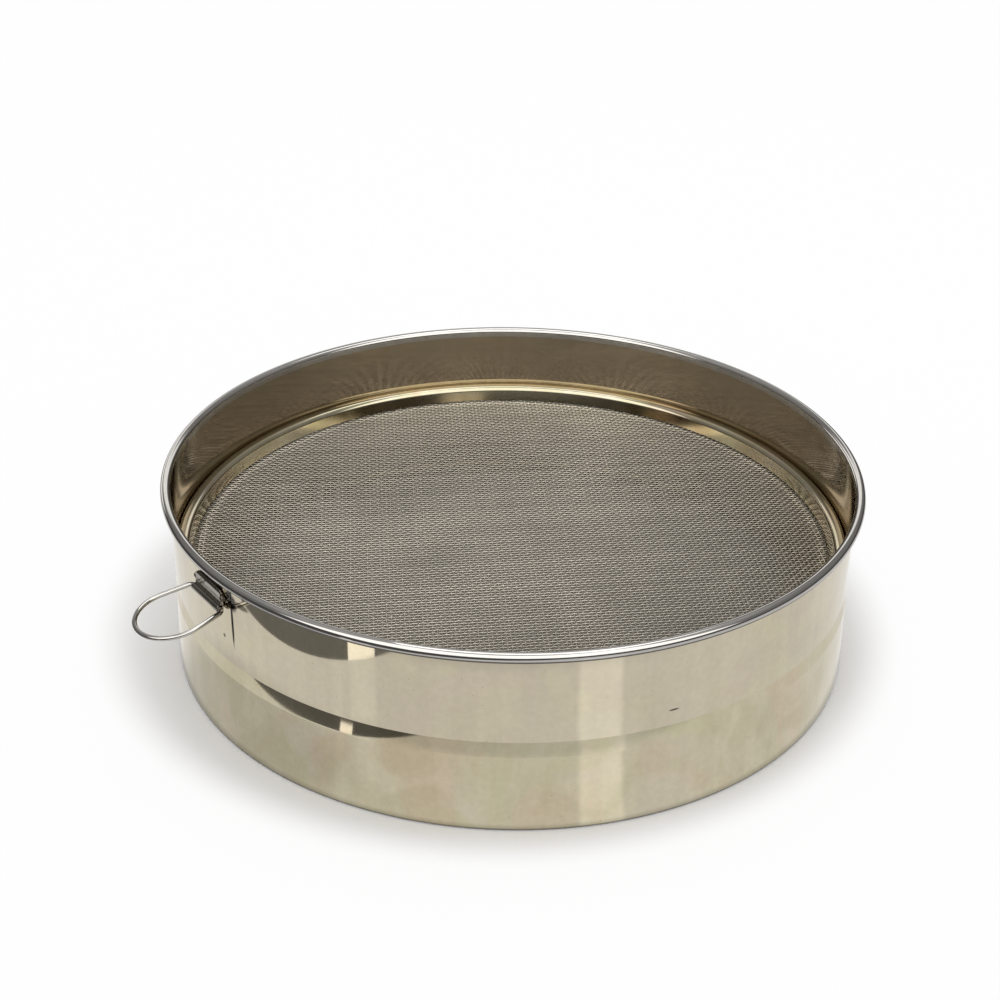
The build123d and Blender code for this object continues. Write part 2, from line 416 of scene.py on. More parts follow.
def wire_steel(name, tone, roughness=0.16, grain=600.0, dulled=0.8):
    """Drawn wire: a grey metal with fine die marks and duller patches."""
    material, tree, shader, place = new_material(name)
    patches = noise_node(tree, place, 120.0, 3.0)
    share = span_node(tree, patches, 0.35, 0.7)
    dull = tuple(dulled * part for part in tone)
    base = mix_colours(tree, share, tone, dull)
    marks = noise_node(tree, place, grain, 4.0)
    rough = span_node(tree, marks, 0.3, 0.7, roughness * 0.8, roughness * 1.6)
    finish_metal(tree, shader, base, rough, marks, 0.15, 0.03 * MM)
    return material


def strap_painted_light_lines(looks):
    """Folded strip: painted highlights and painted shade as bright and dark lines along it, standing in for
    the light on the fold round the wire behind.
    """
    material, tree, shader, place = new_material("strap_strip")
    # Painted highlights and shade: stretched noise switches between the strap tone and a dark tone in lines
    # along the strap; it also gives the relief.
    lines = noise_node(tree, place, 1.0, 2.0, 0.0, (3, 3, 1500))
    share = span_node(tree, lines, 0.40, 0.56)
    dark = tuple(0.16 * part for part in looks.strap)
    base = mix_colours(tree, share, dark, looks.strap[:])
    marks = noise_node(tree, place, 500.0, 3.0)
    rough = span_node(tree, marks, 0.3, 0.7, 0.10, 0.26)
    finish_metal(tree, shader, base, rough, lines, 0.35, 0.08 * MM)
    return material


def cloth_steel(looks):
    """Woven wires: each a little lighter or darker, duller in patches, with painted shade beside the ring
    and a painted light line just inside it.
    """
    material, tree, shader, place = new_material("woven_wire")
    shade = add_node(tree, "ShaderNodeAttribute", {"attribute_name": "wire_shade"}).outputs["Fac"]
    patches = noise_node(tree, place, 14.0, 4.0, 0.5)
    tone = looks.cloth[:]
    worn = tuple(0.84 * part for part in tone)
    base = mix_colours(tree, span_node(tree, patches, 0.35, 0.65), tone, worn)
    reach = reach_of(tree, place)
    # Painted shade darkens the wires beside the ring, and a painted light line brightens them just inside
    # it.
    edge = span_node(tree, reach, 136.4 * MM, 137.2 * MM, 1.0, 0.5)
    painted_light_line = product_node(tree, span_node(tree, reach, 133.2 * MM, 134.4 * MM, 0.0, 0.3), edge)
    painted_edge_shade_and_light = math_node(tree, "ADD", edge, painted_light_line)
    base = scale_node(tree, base, product_node(tree, span_node(tree, shade, 0.0, 1.0, 0.90, 1.10), painted_edge_shade_and_light))
    marks = noise_node(tree, place, 900.0, 3.0)
    rough = span_node(tree, marks, 0.3, 0.7, 0.22, 0.38)
    finish_metal(tree, shader, base, rough, marks, 0.2, 0.02 * MM)
    return material


def weld_metal(looks):
    """Weld nuggets: dark oxide with brown heat tint and a pitted skin."""
    material, tree, shader, place = new_material("weld_metal")
    patches = noise_node(tree, place, 900.0, 4.0, 0.4)
    bright = (0.34, 0.29, 0.24)
    base = mix_colours(tree, span_node(tree, patches, 0.4, 0.7), looks.weld[:], bright)
    rough = span_node(tree, patches, 0.3, 0.7, 0.55, 0.3)
    finish_metal(tree, shader, base, rough, patches, 0.5, 0.1 * MM)
    return material


# Mesh helpers


def hand_over(piece, body, nodes=()):
    """Parents a finished piece to its body's empty and hides the CAD nodes it stands in for."""
    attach(piece, body)
    if nodes:
        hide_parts(*nodes)


def new_object(name, data):
    """Object linked to the scene."""
    made = bpy.data.objects.new(name, data)
    bpy.context.scene.collection.objects.link(made)
    return made


def mesh_piece(name, points, faces, material, sharp_degrees=35.0):
    """Smooth-shaded piece from points and faces, its normals turned outwards."""
    mesh = bpy.data.meshes.new(name)
    mesh.from_pydata(points, [], faces)
    work = bmesh.new()
    work.from_mesh(mesh)
    bmesh.ops.recalc_face_normals(work, faces=work.faces)
    work.to_mesh(mesh)
    work.free()
    mesh.shade_smooth()
    mesh.set_sharp_from_angle(angle=math.radians(sharp_degrees))
    mesh.materials.append(material)
    return new_object(name, mesh)


def arc_points(centre, radius, start, end, step=9.0):
    """Points on an arc, by degrees, both ends included."""
    count = max(2, math.ceil(abs(end - start) / step))
    points = []
    for index in range(count + 1):
        turn = math.radians(start + (end - start) * index / count)
        points.append(Vector((centre[0] + radius * math.cos(turn), centre[1] + radius * math.sin(turn))))
    return points


def rounded_line(corners, radii):
    """Open line whose inner corners are rounded, with a guard point on the straight beside each bend."""
    corners = [Vector(corner) for corner in corners]
    points = [corners[0]]
    for before, corner, after, radius in zip(corners, corners[1:], corners[2:], radii):
        to_before = (before - corner).normalized()
        to_after = (after - corner).normalized()
        half = to_before.angle(to_after) / 2
        reach = radius / math.tan(half)
        centre = corner + (to_before + to_after).normalized() * (radius / math.sin(half))
        arm = corner + to_before * reach - centre
        sweep = arm.angle_signed(corner + to_after * reach - centre)
        count = max(3, math.ceil(abs(math.degrees(sweep)) / 9.0))
        points.append(corner + to_before * (reach + GUARD))
        for index in range(count + 1):
            points.append(centre + Matrix.Rotation(-sweep * index / count, 2) @ arm)
        points.append(corner + to_after * (reach + GUARD))
    points.append(corners[-1])
    return points


def sheet_outline(line, sheet):
    """Closed outline of a sheet whose middle follows the line: out on one side and back on the other."""
    sides = ([], [])
    for index, point in enumerate(line):
        ahead = line[min(index + 1, len(line) - 1)]
        behind = line[max(index - 1, 0)]
        before = (point - behind).normalized() if index > 0 else (ahead - point).normalized()
        after = (ahead - point).normalized() if index < len(line) - 1 else before
        along = (before + after).normalized()
        across = Vector((-along.y, along.x)) * (sheet / 2 / max(0.5, along.dot(before)))
        sides[0].append(point + across)
        sides[1].append(point - across)
    return sides[0] + sides[1][::-1]


def bridge(here, there, count, left_out=()):
    """Faces between two rings of count points that start at here and there."""
    faces = []
    for row in range(count):
        if row not in left_out:
            up = (row + 1) % count
            faces.append((here + row, here + up, there + up, there + row))
    return faces


def turned(outline, slit=None):
    """Points and faces of an outline turned about the drum's axis, with an open slit if one is given."""
    rows = len(outline)
    start = 0.0
    stride = 2 * math.pi / STATIONS
    if slit:
        start = slit["angle"] + slit["half"]
        stride = (2 * math.pi - 2 * slit["half"]) / (STATIONS - 1)
    points = []
    for station in range(STATIONS):
        turn = start + stride * station
        points += [(p.x * math.cos(turn), p.x * math.sin(turn), p.y) for p in outline]
    faces = []
    open_rows = set()
    if slit:
        low, high = slit["rows"]
        open_rows = set(range(low, high)) | set(range(rows - 1 - high, rows - 1 - low))
    last = (STATIONS - 1) * rows
    for here in range(0, last, rows):
        faces += bridge(here, here + rows, rows)
    faces += bridge(last, 0, rows, open_rows)
    if slit:
        for row in range(low, high):
            faces.append((row, row + 1, rows - 2 - row, rows - 1 - row))
            faces.append((last + row, last + row + 1, last + rows - 2 - row, last + rows - 1 - row))
        for row in (low, high):
            faces.append((row, last + row, last + rows - 1 - row, rows - 1 - row))
    return points, faces


def tube(line, radius, sides, normal):
    """Points and faces of a closed round wire along a closed line; normal stands on the line's plane."""
    points = []
    faces = []
    count = len(line)
    for index, point in enumerate(line):
        along = (line[(index + 1) % count] - line[index - 1]).normalized()
        across = along.cross(normal).normalized()
        for side in range(sides):
            turn = 2 * math.pi * side / sides
            points.append(point + radius * (math.cos(turn) * across + math.sin(turn) * normal))
    for index in range(count):
        here = index * sides
        there = (index + 1) % count * sides
        for side in range(sides):
            up = (side + 1) % sides
            faces.append((here + side, there + side, there + up, here + up))
    return points, faces


# Weave


WEAVE_INPUTS = {
    "Vector": ("Crossing Step", "Wire Step"),
    "Int": ("First Wire", "Wire Count", "Crossings Each Way", "Sides", "Seed"),
    "Float": ("Wire Diameter", "Cloth Radius", "Crown", "Height", "Play"),
    "Material": ("Finish",),
}


def weave_tree():
    """Node group that lays one band of parallel wires over and under the crossing ones."""
    tree = bpy.data.node_groups.new("woven_wires", "GeometryNodeTree")
    face = tree.interface
    face.new_socket(name="Geometry", in_out="INPUT", socket_type="NodeSocketGeometry")
    for kind, names in WEAVE_INPUTS.items():
        for name in names:
            face.new_socket(name=name, in_out="INPUT", socket_type="NodeSocket" + kind)
    face.new_socket(name="Geometry", in_out="OUTPUT", socket_type="NodeSocketGeometry")
    given = tree.nodes.new("NodeGroupInput").outputs
    each_way = given["Crossings Each Way"]

    def line_of_points(count, axis, start, step):
        """Straight row of points along an axis of the grid of wires."""
        foot = add_node(tree, "ShaderNodeCombineXYZ", None, {axis: start})
        inputs = {"Count": count, "Start Location": foot.outputs[0], "Offset": step}
        return add_node(tree, "GeometryNodeMeshLine", {"mode": "OFFSET"}, inputs).outputs[0]

    def shape_node(kind, inputs, settings=None):
        """Geometry that comes out of a node."""
        return add_node(tree, kind, settings, inputs).outputs[0]

    count = math_node(tree, "MULTIPLY_ADD", each_way, 4.0, 1.0)
    run = line_of_points(count, "X", product_node(tree, each_way, -1.0), (0.5, 0, 0))
    row = line_of_points(given["Wire Count"], "Y", given["First Wire"], (0, 1, 0))
    laid = shape_node("GeometryNodeInstanceOnPoints", {"Points": row, "Instance": run})
    wires = shape_node("GeometryNodeRealizeInstances", {"Geometry": laid})
    place = tree.nodes.new("GeometryNodeInputPosition").outputs[0]
    split = add_node(tree, "ShaderNodeSeparateXYZ", None, {0: place}).outputs
    number = math_node(tree, "ADD", math_node(tree, "ROUND", split["Y"]), WIRE_NUMBER_SHIFT)
    draw = {"Min": 0.0, "Max": 1.0, "ID": number, "Seed": given["Seed"]}
    chance = add_node(tree, "FunctionNodeRandomValue", {"data_type": "FLOAT"}, draw).outputs["Value"]
    shaded = shape_node(
        "GeometryNodeStoreNamedAttribute",
        {"Geometry": wires, "Name": "wire_shade", "Value": chance},
        {"data_type": "FLOAT", "domain": "POINT"},
    )
    phase = product_node(tree, math_node(tree, "ADD", split["X"], split["Y"]), math.pi)
    wave = product_node(tree, math_node(tree, "COSINE", phase), given["Crown"])
    lift = math_node(tree, "ADD", wave, given["Height"])
    shift = product_node(tree, math_node(tree, "SUBTRACT", chance, 0.5), given["Play"])
    along = scale_node(tree, given["Crossing Step"], split["X"])
    across = scale_node(tree, given["Wire Step"], math_node(tree, "ADD", split["Y"], shift))
    raised = add_node(tree, "ShaderNodeCombineXYZ", None, {"Z": lift}).outputs[0]
    moved = vector_node(tree, "ADD", vector_node(tree, "ADD", along, across), raised)
    woven = shape_node("GeometryNodeSetPosition", {"Geometry": shaded, "Position": moved})
    outside = math_node(tree, "GREATER_THAN", reach_of(tree, place), given["Cloth Radius"])
    inputs = {"Geometry": woven, "Selection": outside}
    cut = shape_node("GeometryNodeDeleteGeometry", inputs, {"domain": "POINT"})
    lines = shape_node("GeometryNodeMeshToCurve", {"Mesh": cut})
    radius = product_node(tree, given["Wire Diameter"], 0.5)
    inputs = {"Resolution": given["Sides"], "Radius": radius}
    profile = shape_node("GeometryNodeCurvePrimitiveCircle", inputs)
    inputs = {"Curve": lines, "Profile Curve": profile, "Fill Caps": True}
    drawn = shape_node("GeometryNodeCurveToMesh", inputs)
    smooth = shape_node("GeometryNodeSetShadeSmooth", {"Geometry": drawn})
    real = shape_node("GeometryNodeRealizeInstances", {"Geometry": smooth})
    finished = shape_node("GeometryNodeSetMaterial", {"Geometry": real, "Material": given["Finish"]})
    out = tree.nodes.new("NodeGroupOutput")
    tree.links.new(finished, out.inputs[0])
    return tree


def woven_band(name, tree, values):
    """One band of wires as a plain mesh piece."""
    carrier = new_object(name + "_carrier", bpy.data.meshes.new(name + "_carrier"))
    modifier = carrier.modifiers.new("weave", "NODES")
    modifier.node_group = tree
    keys = {item.name: item.identifier for item in tree.interface.items_tree if item.in_out == "INPUT"}
    for title, value in values.items():
        modifier[keys[title]] = value
    carrier.update_tag()
    shown = carrier.evaluated_get(bpy.context.evaluated_depsgraph_get())
    mesh = bpy.data.meshes.new_from_object(shown)
    bpy.data.objects.remove(carrier)
    mesh.name = name
    if not mesh.polygons:
        raise RuntimeError(f"{name} came out empty")
    return new_object(name, mesh)


# Operators


class SIEVE_OT_turn_hoops(bpy.types.Operator):
    """Turns the upper hoop with its rolled rim and the lower hoop with its shoulder and hem"""

    bl_idname = "sieve.turn_hoops"
    bl_label = "Turn Hoops"

    def execute(self, context):
        drum = context.scene.sieve_drum
        looks = context.scene.sieve_finishes
        sheet = drum.sheet
        curl = drum.rim_bore + sheet
        middle = drum.rim_bore + sheet / 2
        centre = Vector((drum.rim_diameter / 2 - curl, drum.height - curl))
        wall = centre.x - middle
        heights = (
            drum.seat_height,
            drum.seat_height + 0.3 * MM,
            drum.seam_foot,
            drum.seam_head,
            centre.y - 1.6 * MM,
            centre.y - 0.15 * MM,
        )
        line = [Vector((wall, level)) for level in heights]
        line += arc_points(centre, middle, 180.0, -122.0)
        half = drum.seam_width / 2 / wall
        slit = {"angle": drum.seam_angle, "half": half, "rows": SEAM_ROWS}
        marks = []
        for degrees, height, radii, strength, tone in WALL_MARKS:
            turn = math.radians(degrees)
            place = (wall * math.cos(turn), wall * math.sin(turn), height * MM)
            marks.append((place, [part * MM for part in radii], strength, tone))
        steel = sheet_steel("rolled_sheet_upper", looks, marks, rim_foot=centre.y - curl)
        points, faces = turned(sheet_outline(line, sheet), slit)
        hoop = mesh_piece("upper_hoop_wall", points, faces, steel)
        hand_over(hoop, "drum", ["upper_hoop"])

        shoulder_foot = drum.seat_height - drum.shoulder_rise
        crease = shoulder_foot - drum.crease_drop
        collar = drum.rim_diameter / 2 - 2 * curl - COLLAR_PLAY - sheet / 2
        back = drum.skirt_base - sheet - drum.hem_gap - sheet / 2
        front = drum.skirt_base - sheet / 2
        fold = (front - back) / 2
        hem = [Vector((back, drum.hem_height)), Vector((back, sheet / 2 + fold + 0.2 * MM))]
        hem += arc_points((back + fold, sheet / 2 + fold), fold, 180.0, 360.0, 12.0)
        skirt = rounded_line(
            (
                (front, sheet / 2 + fold),
                (front, drum.hem_height),
                (drum.skirt_top - sheet / 2, crease),
                (drum.skirt_top - sheet / 2, shoulder_foot),
                (collar, drum.seat_height),
                (collar, CLOTH_FOOT - sheet / 2),
                (collar + sheet / 2 - drum.ledge_width, CLOTH_FOOT - sheet / 2),
            ),
            (*SKIRT_BENDS, drum.ledge_bend - sheet / 2),
        )
        steel = sheet_steel("rolled_sheet_lower", looks)
        points, faces = turned(sheet_outline(hem + skirt[1:], sheet))
        lower_hoop = mesh_piece("lower_hoop_skirt", points, faces, steel)
        hand_over(lower_hoop, "drum", ["lower_hoop"])
        return {"FINISHED"}


class SIEVE_OT_press_ring(bpy.types.Operator):
    """Makes the pressed ring that clamps the cloth"""

    bl_idname = "sieve.press_ring"
    bl_label = "Press Ring"

    def execute(self, context):
        drum = context.scene.sieve_drum
        looks = context.scene.sieve_finishes
        half = drum.sheet / 2
        outer = RING_RADIUS - half
        inner = RING_RADIUS - drum.ring_width
        slope = drum.ring_lean / (RING_TOP - CLOTH_TOP)
        lean = half * math.hypot(1.0, slope)
        line = rounded_line(
            (
                (outer, CLOTH_TOP),
                (outer, RING_TOP - half),
                (inner + drum.ring_lean + lean - half * slope, RING_TOP - half),
                (inner + lean, CLOTH_TOP),
            ),
            RING_BENDS,
        )
        steel = sheet_steel("pressed_ring_sheet", looks, (), 0.07)
        points, faces = turned(sheet_outline(line, drum.sheet))
        ring = mesh_piece("retaining_ring_channel", points, faces, steel)
        hand_over(ring, "drum", ["retaining_ring"])
        return {"FINISHED"}


class SIEVE_OT_weave_cloth(bpy.types.Operator):
    """Weaves the wire cloth in bands of warp and weft wires"""

    bl_idname = "sieve.weave_cloth"
    bl_label = "Weave Cloth"

    def execute(self, context):
        cloth = context.scene.sieve_cloth
        steel = cloth_steel(context.scene.sieve_finishes)
        tree = weave_tree()
        warp = Vector((math.cos(cloth.warp_angle), math.sin(cloth.warp_angle), 0))
        weft = Vector((math.cos(cloth.weft_angle), math.sin(cloth.weft_angle), 0))
        skew = math.sin(cloth.weft_angle - cloth.warp_angle)
        warp_step = warp * (cloth.weft_pitch / skew)
        weft_step = weft * (cloth.warp_pitch / skew)
        sets = (("warp", warp_step, weft_step, 1), ("weft", weft_step, warp_step, -1))
        for name, crossing, step, side in sets:
            spacing = step.length * skew
            each_side = math.ceil(cloth.radius / spacing)
            wires = 2 * each_side + 1
            for band in range(cloth.bands):
                first = band * wires // cloth.bands
                last = (band + 1) * wires // cloth.bands
                values = {
                    "Crossing Step": crossing[:],
                    "Wire Step": step[:],
                    "First Wire": first - each_side,
                    "Wire Count": last - first,
                    "Crossings Each Way": math.ceil(OVERRUN * cloth.radius / crossing.length),
                    "Wire Diameter": cloth.wire,
                    "Cloth Radius": cloth.radius,
                    "Crown": side * (CLOTH_TOP - CLOTH_FOOT - cloth.wire) / 2,
                    "Height": (CLOTH_FOOT + CLOTH_TOP) / 2,
                    "Play": WIRE_PLAY,
                    "Sides": WIRE_SIDES,
                    "Seed": cloth.seed + (side > 0),
                    "Finish": steel,
                }
                piece = woven_band(f"cloth_{name}_{band + 1}", tree, values)
                hand_over(piece, "drum", ["mesh_cloth"])
        return {"FINISHED"}


class SIEVE_OT_bend_loop(bpy.types.Operator):
    """Bends the hanging loop from round wire"""

    bl_idname = "sieve.bend_loop"
    bl_label = "Bend Loop"

    def execute(self, context):
        loop = context.scene.sieve_loop
        looks = context.scene.sieve_finishes
        splay = math.degrees(loop.splay)
        corner = (loop.end_radius - loop.end_reach * math.sin(loop.splay)) / math.cos(loop.splay)
        arc = arc_points((loop.end_reach, 0), loop.end_radius, -90 - splay, 90 + splay, 4.0)
        bar_corners = (arc[-1], (0, corner), (0, -corner), arc[0])
        bar = rounded_line(bar_corners, (loop.bend_radius, loop.bend_radius))
        flat = arc + bar[1:-1]
        out = Vector((-math.cos(loop.droop), 0, -math.sin(loop.droop)))
        origin = Vector((-loop.bar_reach, 0, loop.bar_height))
        side = Vector((0, 1, 0))
        line = [origin + out * point.x + side * point.y for point in flat]
        steel = wire_steel("polished_loop_wire", looks.loop[:], 0.07, 400.0, 0.85)
        points, faces = tube(line, loop.wire / 2, 20, out.cross(side).normalized())
        piece = mesh_piece("hanging_loop_wire", points, faces, steel, 60.0)
        hand_over(piece, "loop", ["hanging_loop"])
        return {"FINISHED"}


class SIEVE_OT_fold_strap(bpy.types.Operator):
    """Folds the strap round the loop's bar and sets the weld nuggets at its ends"""

    bl_idname = "sieve.fold_strap"
    bl_label = "Fold Strap"

    def strap_line(self, loop, drop):
        """Middle line of the folded strap where its corners are cut down by drop."""
        half = loop.strap_sheet / 2
        radius = loop.wire / 2 + BAR_PLAY + half
        centre = Vector((loop.bar_reach, loop.bar_height))
        back = centre.x - radius
        lap = back + loop.strap_sheet + LAP_GAP
        rise = math.sqrt((radius + LAP_BEND) ** 2 - (centre.x - lap - LAP_BEND) ** 2)
        turn = math.degrees(math.atan2(rise, lap + LAP_BEND - centre.x))
        back_top = loop.strap_top - drop
        front_top = min(loop.strap_top - loop.strap_lap, loop.strap_top - drop) - 0.02 * MM
        line = [Vector((back, level)) for level in (back_top, back_top - 0.5 * MM, centre.y + 0.2 * MM)]
        line += arc_points(centre, radius, 180.0, 360.0 + turn, 12.0)
        line += arc_points((lap + LAP_BEND, centre.y + rise), LAP_BEND, turn + 180.0, 180.0, 20.0)[1:]
        line += [Vector((lap, front_top - 0.5 * MM)), Vector((lap, front_top))]
        return line

    def execute(self, context):
        loop = context.scene.sieve_loop
        looks = context.scene.sieve_finishes
        edge = loop.strap_width / 2
        corner = loop.strap_corner
        right = [(place, 0.0) for place in (0.0, 2.6 * MM, 5.2 * MM)]
        for index in range(7):
            turn = math.radians(15.0 * index)
            right.append((edge - corner + corner * math.sin(turn), corner * (1 - math.cos(turn))))
        stations = [(-place, drop) for place, drop in right[:0:-1]] + right
        points = []
        faces = []
        for place, drop in stations:
            outline = sheet_outline(self.strap_line(loop, drop), loop.strap_sheet)
            points += [(-p.x, place, p.y) for p in outline]
        rows = len(points) // len(stations)
        last = len(points) - rows
        for here in range(0, last, rows):
            faces += bridge(here, here + rows, rows)
        for base in (0, last):
            for row in range(rows // 2 - 1):
                faces.append((base + row, base + row + 1, base + rows - 2 - row, base + rows - 1 - row))
        strap = mesh_piece("loop_strap_fold", points, faces, strap_painted_light_lines(looks))
        bevel = strap.modifiers.new("soft_edges", "BEVEL")
        bevel.width = 0.1 * MM
        bevel.segments = 2
        bevel.limit_method = "ANGLE"
        bevel.angle_limit = math.radians(50)
        hand_over(strap, "drum", ["loop_strap"])

        points = []
        faces = []
        root = RIM_DIAMETER / 2 - WELD_INSET
        top = loop.bar_reach - 0.17 * MM
        for direction in (-1, 1):
            first = len(points)
            middle = direction * (loop.strap_width / 2 + WELD_STANDOFF)
            for ring in range(WELD_RINGS):
                tilt = math.radians(90.0 * ring / (WELD_RINGS - 1))
                depth = root + (top - root) * math.sin(tilt)
                for step in range(WELD_STEPS):
                    turn = 2 * math.pi * step / WELD_STEPS
                    lump = 1.0 + 0.10 * math.sin(3 * turn + direction) + 0.06 * math.sin(5 * turn)
                    reach = loop.weld_radius * lump * math.cos(tilt) if ring < WELD_RINGS - 1 else 0.08 * MM
                    across = middle + reach * math.cos(turn)
                    points.append((-depth, across, loop.weld_height + reach * math.sin(turn)))
            last = len(points) - WELD_STEPS
            for here in range(first, last, WELD_STEPS):
                faces += bridge(here, here + WELD_STEPS, WELD_STEPS)
            for base in (first, last):
                faces.append(tuple(range(base, base + WELD_STEPS)))
        nuggets = mesh_piece("strap_weld_nuggets", points, faces, weld_metal(looks))
        hand_over(nuggets, "drum", ["strap_welds"])
        return {"FINISHED"}


class SIEVE_OT_dress_wires(bpy.types.Operator):
    """Gives the wires inside the rim and the ring their drawn finish"""

    bl_idname = "sieve.dress_wires"
    bl_label = "Dress Wires"

    def execute(self, context):
        steel = wire_steel("drawn_wire", (0.5, 0.48, 0.45), 0.25)
        for name in ("rim_wire", "edge_wire"):
            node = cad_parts[name]
            node.data.materials.clear()
            node.data.materials.append(steel)
        return {"FINISHED"}


def set_on_stage(thing, seen):
    """Sets which kinds of ray meet a stage object; seen names them."""
    for kind in RAY_KINDS:
        setattr(thing, "visible_" + kind, kind in seen)


def stage_card(name, corners, material, seen):
    """Flat card or floor of the stage; seen names the kinds of ray that meet it."""
    mesh = bpy.data.meshes.new(name)
    mesh.from_pydata(corners, [], [tuple(range(len(corners)))])
    mesh.materials.append(material)
    set_on_stage(new_object(name, mesh), seen)


def matt_material(name, tone):
    """Matt stage surface."""
    material, tree, shader, place = new_material(name, 0.0)
    soft = noise_node(tree, place, 3.0, 2.0)
    paler = tuple(min(1.0, part * 1.01) for part in tone)
    tree.links.new(mix_colours(tree, soft, tone, paler), shader.inputs["Base Color"])
    shader.inputs["Roughness"].default_value = 0.9
    shader.inputs["Specular IOR Level"].default_value = 0.0
    return material


def floor_material(looks):
    """Pale matt floor, white away from the drum and with the drum's shadow round its base."""
    material = matt_material("floor_matt", looks.floor[:])
    tree = material.node_tree
    place = tree.nodes["Texture Coordinate"].outputs["Object"]
    away = measure_node(tree, "LENGTH", place)
    front = measure_node(tree, "DOT_PRODUCT", place, (-0.17, -0.985, 0))
    reach = math_node(tree, "MULTIPLY_ADD", front, 0.09, away)
    share = product_node(tree, direct_rays(tree), span_node(tree, reach, 0.158, 0.184, 0.0, 0.92))
    glow = add_node(tree, "ShaderNodeEmission", None, {"Color": (1.0, 1.0, 1.0, 1.0), "Strength": 1.0})
    shader = tree.nodes["Principled BSDF"]
    mixed = add_node(tree, "ShaderNodeMixShader", None, {0: share, 1: shader.outputs[0], 2: glow.outputs[0]})
    tree.links.new(mixed.outputs[0], tree.nodes["Material Output"].inputs[0])
    material.cycles.emission_sampling = "NONE"
    return material


def glow_material(name, tone, strength):
    """Glow of a stage surface; gives the material, its tree, its glow and its object coordinates."""
    material = bpy.data.materials.new(name)
    material.use_nodes = True
    tree = material.node_tree
    tree.nodes.remove(tree.nodes["Principled BSDF"])
    glow = add_node(tree, "ShaderNodeEmission", None, {"Color": (*tone, 1.0), "Strength": strength})
    tree.links.new(glow.outputs[0], tree.nodes["Material Output"].inputs[0])
    material.cycles.emission_sampling = "NONE"
    return material, tree, glow, add_node(tree, "ShaderNodeTexCoord").outputs["Object"]


def streak_share(tree, place, inner, outer, inner_half, outer_half):
    """1 along a soft-edged streak on the table that widens from its inner to its outer end."""
    start = Vector((*inner, 0)) * MM
    run = Vector((*outer, 0)) * MM - start
    ahead = run.normalized()
    beside = Vector((ahead.y, -ahead.x, 0))
    away = vector_node(tree, "SUBTRACT", place, start)
    along = measure_node(tree, "DOT_PRODUCT", away, ahead)
    across = measure_node(tree, "DOT_PRODUCT", away, beside)
    widening = (outer_half - inner_half) * MM / run.length
    half = math_node(tree, "MULTIPLY_ADD", along, widening, inner_half * MM)
    ratio = math_node(tree, "ABSOLUTE", math_node(tree, "DIVIDE", across, half))
    return product_node(
        tree,
        span_node(tree, ratio, 0.72, 1.08, 1.0, 0.0),
        span_node(tree, along, -0.006, 0.0),
        span_node(tree, along, run.length, run.length + 0.012, 1.0, 0.0),
    )


def table_material(looks):
    """Table as the steel sees it: dimmer at its foot and further out, with two bright streaks."""
    material, tree, glow, place = glow_material("table_glow", looks.table[:], 1.0)
    away = measure_node(tree, "LENGTH", place)
    clouds = noise_node(tree, place, 9.0, 2.0, 0.6)
    side = near_point(tree, place, (-0.156, 0.0, 0), (0.045, 0.09, 1))
    main = streak_share(tree, place, (-56.6, -136.5), (-78.6, -286.0), 9.3, 30.0)
    faint = streak_share(tree, place, (-186.0, -81.0), (-221.0, -84.0), 11.0, 13.5)
    level = product_node(
        tree,
        span_node(tree, away, 0.147, 0.151, 0.55, 0.89),
        span_node(tree, away, 0.246, 0.262, 1.0, 0.80),
        span_node(tree, clouds, 0.3, 0.7, 0.97, 1.02),
        math_node(tree, "MULTIPLY_ADD", side, -0.26, 1.0),
        math_node(tree, "MULTIPLY_ADD", main, 0.27, 1.0),
        math_node(tree, "MULTIPLY_ADD", faint, 0.10, 1.0),
    )
    tree.links.new(level, glow.inputs["Strength"])
    return material


def room_material():
    """Room that the steel reflects: dark low down, paler overhead, with bright patches."""
    material, tree, glow, place = glow_material("dim_room", (1.0, 0.975, 0.94), 1.0)
    aim = vector_node(tree, "NORMALIZE", place)
    height = height_of(tree, aim)
    flat = vector_node(tree, "NORMALIZE", vector_node(tree, "MULTIPLY", place, (1, 1, 0)))
    level = span_node(tree, height, -0.45, -0.15, 0.20, 0.07)
    level = math_node(tree, "ADD", level, span_node(tree, height, 0.0, 0.45, 0.0, 0.17))
    level = math_node(tree, "ADD", level, span_node(tree, height, 0.55, 0.95, 0.0, 0.28))
    for azimuth, half_width, low, high, strength in ROOM_PATCHES:
        turn = math.radians(azimuth)
        facing = measure_node(tree, "DOT_PRODUCT", flat, (math.cos(turn), math.sin(turn), 0))
        sides = [math.cos(math.radians(half_width + soft)) for soft in (6, -6)]
        foot = [math.sin(math.radians(low + soft)) for soft in (-3, 3)]
        head = [math.sin(math.radians(high + soft)) for soft in (-3, 3)]
        share = product_node(
            tree,
            span_node(tree, facing, *sides),
            span_node(tree, height, *foot),
            span_node(tree, height, *head, strength, 0.0),
        )
        level = math_node(tree, "MAXIMUM", level, share)
    tree.links.new(level, glow.inputs["Strength"])
    return material


def disc(radius, height):
    """Corners of a level disc on the drum's axis."""
    turns = [2 * math.pi * corner / DISC_CORNERS for corner in range(DISC_CORNERS)]
    return [(radius * math.cos(turn), radius * math.sin(turn), height) for turn in turns]


